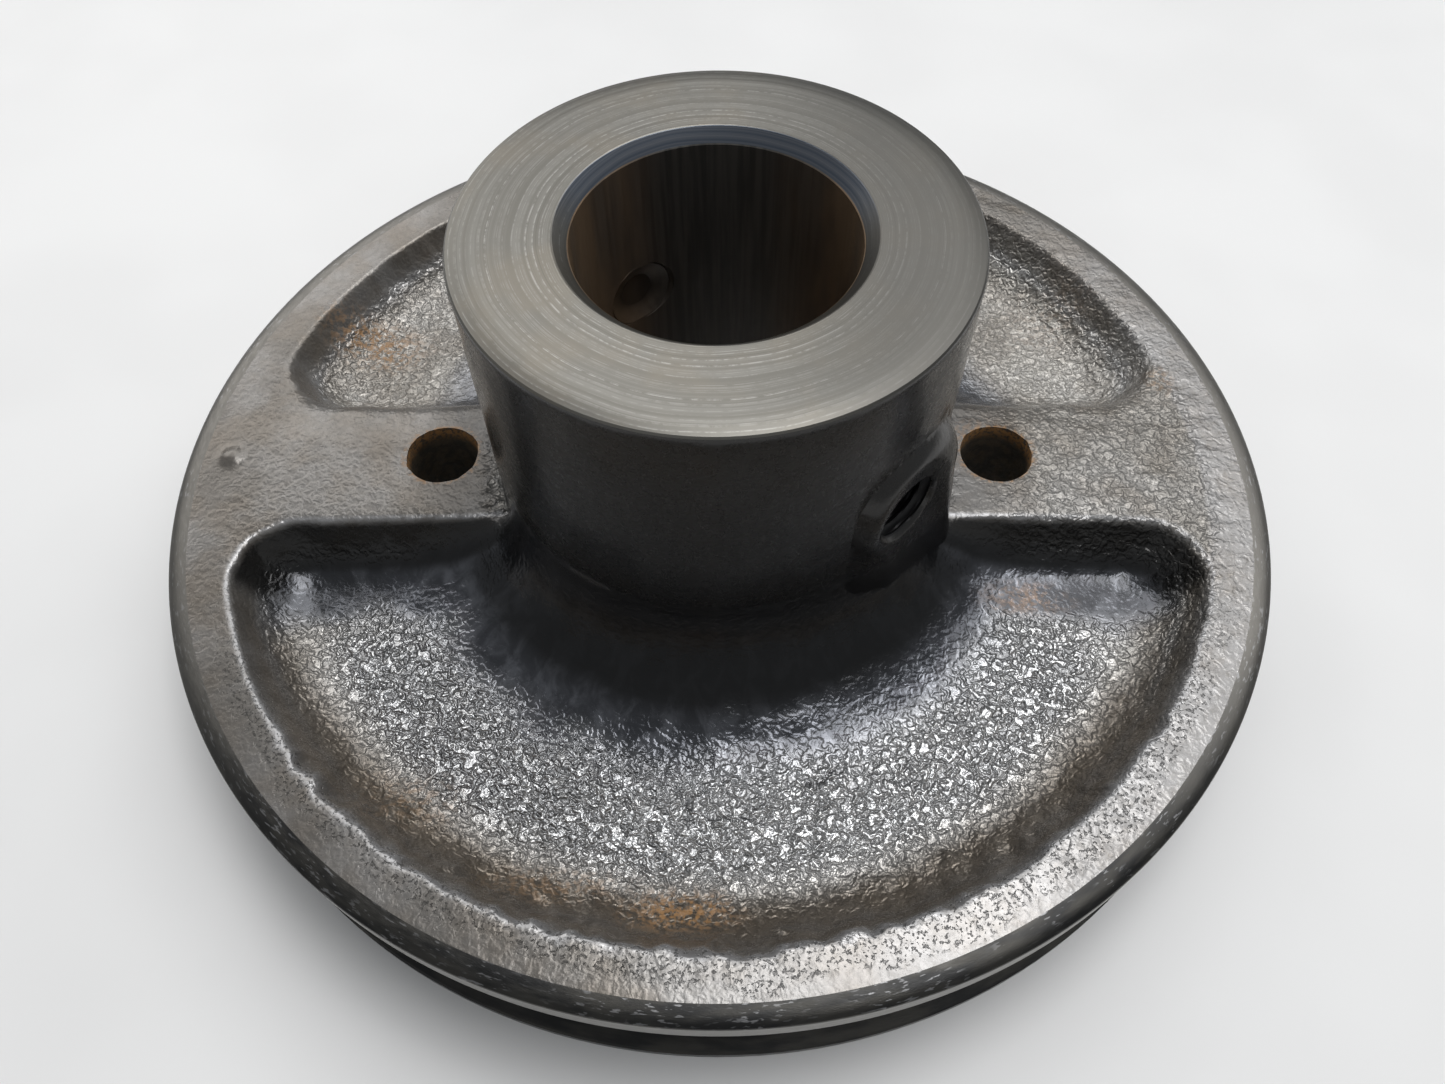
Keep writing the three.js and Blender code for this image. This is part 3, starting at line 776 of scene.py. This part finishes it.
def cast_skin():
    """Oiled sand-cast iron: glossy grains with painted shade between them, dull brown-grey zones, smooth flow
    marks, edges lightened by wear and painted highlight, painted shade on the hub's side, foot and lands'
    front walls, and rust.
    """
    n = Nodes("cast_skin")
    bumpy, wear_and_highlight, rust, flow = (n.mask(name) for name in ("bumpy", "wear_and_highlight", "rust", "flow"))
    dull, painted_shade, pitted = (n.mask(name) for name in ("dull", "painted_shade", "pitted"))
    patches = n.range(n.noise(0.07, 3, 0.55), 0.35, 0.65)
    speckle = n.noise(0.9, 4, 0.6)
    pits = n.math("MULTIPLY", n.range(n.noise(1.9, 2.5, 0.6, distortion=0.3), 0.45, 0.36), pitted)

    grains = n.noise(0.95, 1.0, 0.5, distortion=0.7)
    fine = n.noise(2.2, 1.5, 0.5, distortion=0.5)
    height = n.math("ADD", n.range(grains, 0.34, 0.66), n.math("MULTIPLY", fine, 0.5))
    grain_mix = n.math("ADD", n.math("MULTIPLY", grains, 0.6), n.math("MULTIPLY", fine, 0.4))
    # Painted shade: the grains' low spots, darkened further down as their shadows.
    hollow_shade = n.range(grain_mix, 0.50, 0.43)

    x, y, _ = n.split()
    radius = n.axis_distance()
    angle = n.math("ARCTAN2", y, x)
    swirl = n.join(
        n.math("MULTIPLY", radius, 0.16),
        n.math("MULTIPLY", angle, 9.0),
        n.math("MULTIPLY", radius, 0.1),
    )
    streaks = n.range(n.noise(1.5, 3, 0.6, source=swirl, distortion=0.6), 0.4, 0.68)

    plain = n.mix(n.range(bumpy, 0.38, 0.75), IRON_LAND, IRON_DULL)
    base = n.mix(n.math("MULTIPLY", dull, n.range(patches, 0, 1, 0.85, 1.0)), IRON_OILED, plain)
    brown = n.math("MULTIPLY", n.range(n.noise(0.11, 3, 0.55), 0.42, 0.66), n.math("MULTIPLY", dull, 0.5))
    base = n.mix(brown, base, IRON_BROWN)
    base = n.mix(n.math("MULTIPLY", n.range(speckle, 0.48, 0.7), 0.3), base, plain)
    outer = n.math("MULTIPLY", n.range(radius, 58, 67), n.range(radius, 71, 69.5))
    base = n.mix(n.math("MULTIPLY", outer, n.range(y, -20, -45, 0.0, 0.75)), base, IRON_BROWN)
    base = n.mix(flow, base, n.mix(n.math("MULTIPLY", streaks, 0.8), IRON_FLOW, IRON_BLUISH))
    # Painted shade: the low spots between the grains are painted near-black.
    base = n.mix(n.math("MULTIPLY", n.math("MULTIPLY", hollow_shade, bumpy), 0.62), base, IRON_BLACK)
    # Painted shade: near-black on the hub's side, its foot and the lands' front walls.
    base = n.mix(n.math("MULTIPLY", painted_shade, 0.92), base, IRON_BLACK)
    # Wear and painted highlight: the lands' edges and the rim's front right are lightened.
    broken_wear_and_highlight = n.math("MULTIPLY", wear_and_highlight, n.range(n.noise(0.8, 3, 0.6), 0.3, 0.55, 0.45, 1.0), True)
    base = n.mix(n.math("MULTIPLY", broken_wear_and_highlight, 0.7), base, IRON_BRIGHT)
    base = n.mix(n.math("MULTIPLY", pits, 0.5), base, IRON_BLACK)
    spots = n.range(n.noise(1.1, 4, 0.65), 0.44, 0.60)
    rust_share = n.math("MULTIPLY", n.math("MULTIPLY", spots, rust, True), 1.3, True)
    base = n.mix(n.math("MULTIPLY", rust, 0.35), base, IRON_BROWN)
    base = n.mix(n.math("MULTIPLY", rust_share, 0.8), base, RUST)

    rough = n.math("ADD", n.range(speckle, 0.3, 0.7, 0.16, 0.24), n.math("MULTIPLY", dull, 0.08))
    rough = n.math("SUBTRACT", rough, n.math("MULTIPLY", n.math("MULTIPLY", wear_and_highlight, pitted), 0.06))
    rough = n.math("ADD", rough, n.math("MULTIPLY", rust_share, 0.3), True)
    metal = n.math("SUBTRACT", 0.88, n.math("MULTIPLY", dull, 0.35))
    metal = n.math("SUBTRACT", metal, n.math("MULTIPLY", rust_share, 0.6), True)
    strength = n.math("ADD", n.math("MULTIPLY", bumpy, 0.95), 0.05, True)
    normal = n.bump(height, strength, 0.00048)
    normal = n.bump(n.math("SUBTRACT", 1.0, pits), n.math("MULTIPLY", pitted, 0.9), 0.00016, normal)
    normal = n.bump(n.noise(5.5, 2, 0.5), 0.2, 0.00005, normal)
    return n.finish(
        Base_Color=base, Roughness=rough, Metallic=metal, Normal=normal,
        Specular_IOR_Level=0.5, Coat_Weight=0.3, Coat_Roughness=0.16,
    )


def turned_face():
    """The hub's turned end: fine rings under a thin brown-grey coat, painted shade on its right half, and a
    painted dark bluish reflection on the chamfer's far side.
    """
    n = Nodes("turned_face")
    radius = n.axis_distance()
    x, y, _ = n.split()
    turned = n.join(x, y, 0.0)
    wander = n.math("MULTIPLY", n.math("SUBTRACT", n.noise(0.05, 2, source=turned), 0.5), 1.2)
    ring_place = n.join(n.math("ADD", radius, wander), 0.0, 0.0)
    fine = n.noise(2.6, 3, 0.7, source=ring_place)
    broad = n.noise(0.8, 2, 0.6, source=ring_place)
    stain = n.noise(0.09, 3, 0.5)
    dapple = n.noise(0.9, 4, 0.65)
    base = n.mix(n.range(broad, 0.38, 0.62), (0.143, 0.137, 0.122), (0.187, 0.181, 0.164))
    base = n.mix(n.math("MULTIPLY", n.range(stain, 0.42, 0.66), 0.5), base, (0.190, 0.170, 0.138))
    marks = n.math("MULTIPLY", n.range(fine, 0.5, 0.66), n.range(dapple, 0.38, 0.6))
    base = n.mix(n.math("MULTIPLY", marks, 0.7), base, (0.40, 0.39, 0.37))
    base = n.mix(n.math("MULTIPLY", n.range(fine, 0.46, 0.34), 0.4), base, (0.105, 0.100, 0.090))
    # Painted shade: the right half of the hub's top is darkened.
    base = n.mix(n.math("MULTIPLY", n.range(x, 0, 22), 0.75), base, (0.085, 0.082, 0.076))
    # Painted reflection: the chamfer's far side is painted dark and bluish.
    cone = n.math("MULTIPLY", n.range(radius, CHAMFER_R + 0.05, CHAMFER_R - 0.1), n.range(y, -2, 9))
    base = n.mix(cone, base, n.mix(n.range(fine, 0.35, 0.65), (0.070, 0.085, 0.110), (0.150, 0.160, 0.180)))
    rough = n.range(broad, 0.3, 0.7, 0.34, 0.42)
    normal = n.bump(fine, 0.4, 0.00006)
    normal = n.bump(dapple, 0.1, 0.00006, normal)
    return n.finish(Base_Color=base, Roughness=rough, Metallic=0.85, Normal=normal, Anisotropic=0.35)


def rim_turned():
    """The rim's rolled edge and groove: painted dark reflection and shade, lighter away from the front, with
    short bright dashes, and a painted highlight on the outside land.
    """
    n = Nodes("rim_turned")
    x, y, z = n.split()
    radius = n.axis_distance()
    angle = n.math("ARCTAN2", y, x)
    along = n.join(
        n.math("MULTIPLY", angle, 55.0),
        n.math("MULTIPLY", radius, 3.0),
        n.math("MULTIPLY", z, 3.0),
    )
    dashes = n.range(n.noise(1.0, 2, 0.5, source=along), 0.58, 0.66)
    outside = n.range(radius, OUTER_R - 0.25, OUTER_R - 0.05)
    land = n.math("MULTIPLY", outside, n.math("MULTIPLY", n.range(z, 14.5, 14.8), n.range(z, 18.5, 17.9)))
    rolled = n.math("MULTIPLY", n.range(z, 17.9, 18.3), n.range(n.noise(0.15, 2), 0.35, 0.65))
    # Painted dark reflection and shade: the rolled edge and groove are near-black, mottled here.
    dark_reflection_mottle = n.range(n.noise(0.2, 3, 0.5, source=along), 0.35, 0.65)
    base = n.mix(dark_reflection_mottle, (0.026, 0.026, 0.026), (0.050, 0.048, 0.044))
    # Lighter away from the front, where the near-black is painted reflection.
    base = n.mix(n.math("MULTIPLY", n.range(y, -62, -25), 0.8), base, (0.170, 0.162, 0.148))
    base = n.mix(n.math("MULTIPLY", dashes, n.math("MULTIPLY", rolled, 0.4)), base, IRON_BRIGHT)
    # Painted highlight: the outside land is lightened where it catches the light.
    base = n.mix(n.math("MULTIPLY", land, 0.85), base, (0.34, 0.33, 0.31))
    rough = n.range(n.noise(0.8, 3, 0.5, source=along), 0.3, 0.7, 0.3, 0.42)
    normal = n.bump(n.noise(3.0, 2, 0.5, source=along), 0.2, 0.00008)
    return n.finish(Base_Color=base, Roughness=rough, Metallic=0.85, Normal=normal)


def bore_wall():
    """The bored wall: dark, with upright streaks and brown staining on its sides, and painted black shade in
    the tapped hole beyond it.
    """
    n = Nodes("bore_wall")
    streaks = n.noise(1.0, 3, 0.55, source=n.stretched((1.3, 1.3, 0.06)))
    stain = n.noise(0.12, 3, 0.5, source=n.stretched((1, 1, 0.3)))
    x, _, _ = n.split()
    side = n.range(n.math("ABSOLUTE", x), 6, 16)
    base = n.mix(n.range(streaks, 0.35, 0.65), (0.065, 0.063, 0.060), (0.10, 0.095, 0.088))
    base = n.mix(n.math("MULTIPLY", n.range(stain, 0.3, 0.55, 0.4, 1.0), side), base, (0.26, 0.18, 0.115))
    # Painted shade: the tapped hole's wall, beyond the bore, is painted near-black.
    base = n.mix(n.range(n.axis_distance(), BORE_R + 0.6, BORE_R + 1.6), base, (0.020, 0.020, 0.021))
    rough = n.range(streaks, 0.3, 0.7, 0.38, 0.5)
    normal = n.bump(streaks, 0.15, 0.00006)
    return n.finish(Base_Color=base, Roughness=rough, Metallic=0.6, Normal=normal)


def drilled_rust():
    """The web holes' walls: dark, with a crust of rust round the mouth."""
    n = Nodes("drilled_rust")
    blotch = n.noise(0.55, 4, 0.65)
    fine = n.noise(1.9, 4, 0.65)
    _, _, z = n.split()
    crust = n.math("MULTIPLY", n.range(z, RIM_WIDTH - 3.2, RIM_WIDTH - 0.6), n.range(fine, 0.38, 0.55))
    base = n.mix(n.range(blotch, 0.42, 0.6), (0.060, 0.055, 0.045), (0.105, 0.085, 0.060))
    base = n.mix(n.math("MULTIPLY", crust, 0.9), base, (0.42, 0.22, 0.08))
    normal = n.bump(fine, 0.6, 0.0003)
    rough = n.range(fine, 0.3, 0.7, 0.55, 0.8)
    return n.finish(Base_Color=base, Roughness=rough, Metallic=0.2, Normal=normal)


def screw_steel():
    """Blackened screw steel, a little oily, rubbed bright on the thread crests."""
    n = Nodes("screw_steel")
    fine = n.noise(2.5, 4, 0.6)
    patches = n.noise(0.5, 3, 0.5)
    base = n.mix(n.range(patches, 0.4, 0.62), (0.045, 0.043, 0.042), (0.10, 0.088, 0.075))
    base = n.mix(n.math("MULTIPLY", n.range(fine, 0.55, 0.7), 0.4), base, (0.16, 0.10, 0.06))
    normal = n.bump(fine, 0.25, 0.00008)
    rough = n.range(fine, 0.3, 0.7, 0.3, 0.45)
    return n.finish(Base_Color=base, Roughness=rough, Metallic=0.9, Normal=normal)


CAST, TURNED, RIM, BORE, HOLE = range(5)


def assign_regions(mesh):
    """Gives each face of the casting its material, by where it lies."""
    count = len(mesh.polygons)
    centres = np.zeros(count * 3, np.float32)
    normals = np.zeros(count * 3, np.float32)
    mesh.polygons.foreach_get("center", centres)
    mesh.polygons.foreach_get("normal", normals)
    x, y, z = (centres.reshape(-1, 3).astype(float) / MM).T
    normal_z = normals.reshape(-1, 3)[:, 2]
    radius = np.hypot(x, y)
    slot = np.full(count, CAST)
    slot[(z > HUB_TOP - 0.5) & (radius > BORE_R + 0.1)] = TURNED
    slot[(radius < CHAMFER_R + 0.2) & (z > HUB_TOP - CHAMFER_DEPTH)] = TURNED
    slot[(radius < CHAMFER_R + 0.2) & (z < CHAMFER_DEPTH)] = TURNED
    slot[(radius < BORE_R + 2) & (z > CHAMFER_DEPTH) & (z < HUB_TOP - CHAMFER_DEPTH)] = BORE
    slot[(radius > OUTER_R - RIM_EDGE_RUN - 0.1) & (z > GROOVE_LOW + GROOVE_WIDTH)] = RIM
    in_groove = (z > 0.3) & (z < GROOVE_LOW + GROOVE_WIDTH) & ((z < 8) | (normal_z < 0.2))
    slot[(radius > OUTER_R - GROOVE_DEPTH - 1) & in_groove] = RIM
    out = x * math.cos(PAD_AZIMUTH) + y * math.sin(PAD_AZIMUTH)
    across = y * math.cos(PAD_AZIMUTH) - x * math.sin(PAD_AZIMUTH)
    # The tapped hole's wall takes the bore's material, which paints it near-black as shade.
    slot[(np.hypot(across, z - SCREW_Z) < SCREW_MAJOR_R + 0.2) & (out > 0) & (out < PAD_FACE - 0.5)] = BORE
    from_hole = np.hypot(np.abs(x) - WEB_HOLE_AT, y)
    slot[(from_hole < WEB_HOLE_R + 0.15) & (z < RIM_WIDTH - 0.3) & (np.abs(normal_z) < 0.5)] = HOLE
    mesh.polygons.foreach_set("material_index", slot.astype(np.int32))


# ---- Pieces -------------------------------------------------------------------------------------------

def build_casting():
    points, faces = casting_mesh()
    piece = mesh_object("casting", points, faces)
    cut_and_join(piece, [
        ("UNION", *pad_mesh()),
        ("DIFFERENCE", *thread_cutter()),
        ("DIFFERENCE", *drill_mark_cutter()),
        ("DIFFERENCE", *web_hole_cutter(WEB_HOLE_AT)),
        ("DIFFERENCE", *web_hole_cutter(-WEB_HOLE_AT)),
    ])
    mesh = piece.data
    mesh.materials.clear()
    for material in (cast_skin(), turned_face(), rim_turned(), bore_wall(), drilled_rust()):
        mesh.materials.append(material)
    assign_regions(mesh)
    paint_masks(mesh)
    smooth_with_edges(mesh, 48, 21)
    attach(piece, CASTING_BODY)
    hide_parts("pulley_casting")
    return piece


def hexagon_radius(azimuths, across_flats):
    """Distance of a hexagon's edge from its centre at each azimuth."""
    sixth = math.pi / 3
    return across_flats / 2 / np.cos((azimuths + sixth / 2) % sixth - sixth / 2)


def build_screw():
    """The socket set screw with its thread, hexagon socket and cup point."""
    azimuths = np.linspace(0, 2 * math.pi, 72, endpoint=False)
    cup_r, cup_depth, chamfer = 2.4, 0.9, 0.9
    rings = [polar(azimuths, 0.4, cup_depth), polar(azimuths, cup_r, 0.05), polar(azimuths, cup_r + 0.3, 0.0)]
    for z in np.arange(0.0, SCREW_LENGTH + 0.01, SCREW_PITCH / 10):
        held = min(z, SCREW_LENGTH)
        thread = thread_radius(azimuths, np.full_like(azimuths, held), SCREW_MINOR_R, SCREW_MAJOR_R)
        limit = SCREW_MAJOR_R - chamfer * max(0.0, 1 - held / chamfer, 1 - (SCREW_LENGTH - held) / chamfer)
        rings.append(polar(azimuths, np.minimum(thread, limit), held))
    socket = hexagon_radius(azimuths, SOCKET_FLATS)
    rings.append(polar(azimuths, SCREW_MAJOR_R - chamfer - 0.2, SCREW_LENGTH))
    rings.append(polar(azimuths, socket + 0.12, SCREW_LENGTH))
    rings.append(polar(azimuths, socket, SCREW_LENGTH - 0.15))
    rings.append(polar(azimuths, socket, SCREW_LENGTH - 3.9))
    rings.append(polar(azimuths, 1.0, SCREW_LENGTH - 4.6))
    points, faces = capped_rows(rings)
    place = outward_place(PAD_AZIMUTH, SCREW_Z) @ Matrix.Translation((0, 0, SCREW_POINT))
    piece = mesh_object("socket_set_screw", placed(points, place), faces)
    piece.data.materials.append(screw_steel())
    smooth_with_edges(piece.data, 34, 34)
    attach(piece, SCREW_BODY)
    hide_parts("set_screw")
    return piece


# ---- Stage, light and camera --------------------------------------------------------------------------

def build_floor():
    size = 3.0
    mesh = bpy.data.meshes.new("floor")
    corners = [(-size, -size, 0), (size, -size, 0), (size, size, 0), (-size, size, 0)]
    mesh.from_pydata(corners, [], [(0, 1, 2, 3)])
    floor = bpy.data.objects.new("floor", mesh)
    bpy.context.scene.collection.objects.link(floor)
    n = Nodes("pale_floor")
    tone = n.mix(n.range(n.noise(0.02, 2), 0.35, 0.65), (0.760, 0.757, 0.754), (0.790, 0.788, 0.785))
    mesh.materials.append(n.finish(Base_Color=tone, Roughness=0.4, Specular_IOR_Level=0.4))
    floor.location.z = -0.00002


def area_light(name, place, target, size, power, colour=(1, 1, 1)):
    data = bpy.data.lights.new(name, "AREA")
    data.shape = "RECTANGLE"
    data.size, data.size_y = size
    data.energy = power
    data.color = colour
    light = bpy.data.objects.new(name, data)
    bpy.context.scene.collection.objects.link(light)
    light.location = place
    light.rotation_euler = (Vector(target) - Vector(place)).to_track_quat("-Z", "Y").to_euler()


def build_lights():
    world = bpy.data.worlds.new("studio")
    world.use_nodes = True
    world.node_tree.nodes["Background"].inputs["Color"].default_value = (0.94, 0.97, 1.0, 1)
    world.node_tree.nodes["Background"].inputs["Strength"].default_value = 0.30
    bpy.context.scene.world = world
    area_light("ceiling", (0.42, 0.75, 1.25), (0, 0, 0), (1.9, 1.1), 12)
    area_light("overhead", (0.22, 0.08, 1.2), (0, 0, 0), (0.8, 0.5), 6.0)
    area_light("window", (-0.75, 1.0, 0.8), (0, 0, 0), (0.9, 0.7), 4.2, (1.0, 0.985, 0.965))


CAMERA_PLACE = (1.34, -100.76, RIM_WIDTH + 126.14)
CAMERA_DOWN = 56.06
CAMERA_YAW = -0.525
CAMERA_ROLL = -0.525
CAMERA_LENS = 26.88


def build_camera():
    data = bpy.data.cameras.new("camera")
    data.sensor_width = 36
    data.lens = CAMERA_LENS
    data.clip_start = 0.01
    camera = bpy.data.objects.new("camera", data)
    bpy.context.scene.collection.objects.link(camera)
    tilt = Euler((math.radians(90 - CAMERA_DOWN), 0, math.radians(-CAMERA_YAW))).to_matrix()
    roll = Matrix.Rotation(math.radians(CAMERA_ROLL), 3, "Z")
    camera.matrix_world = Matrix.Translation(Vector(CAMERA_PLACE) * MM) @ (tilt @ roll).to_4x4()
    bpy.context.scene.camera = camera


build_camera()
build_casting()
build_screw()
build_floor()
build_lights()

bpy.context.scene.view_settings.view_transform = "Standard"
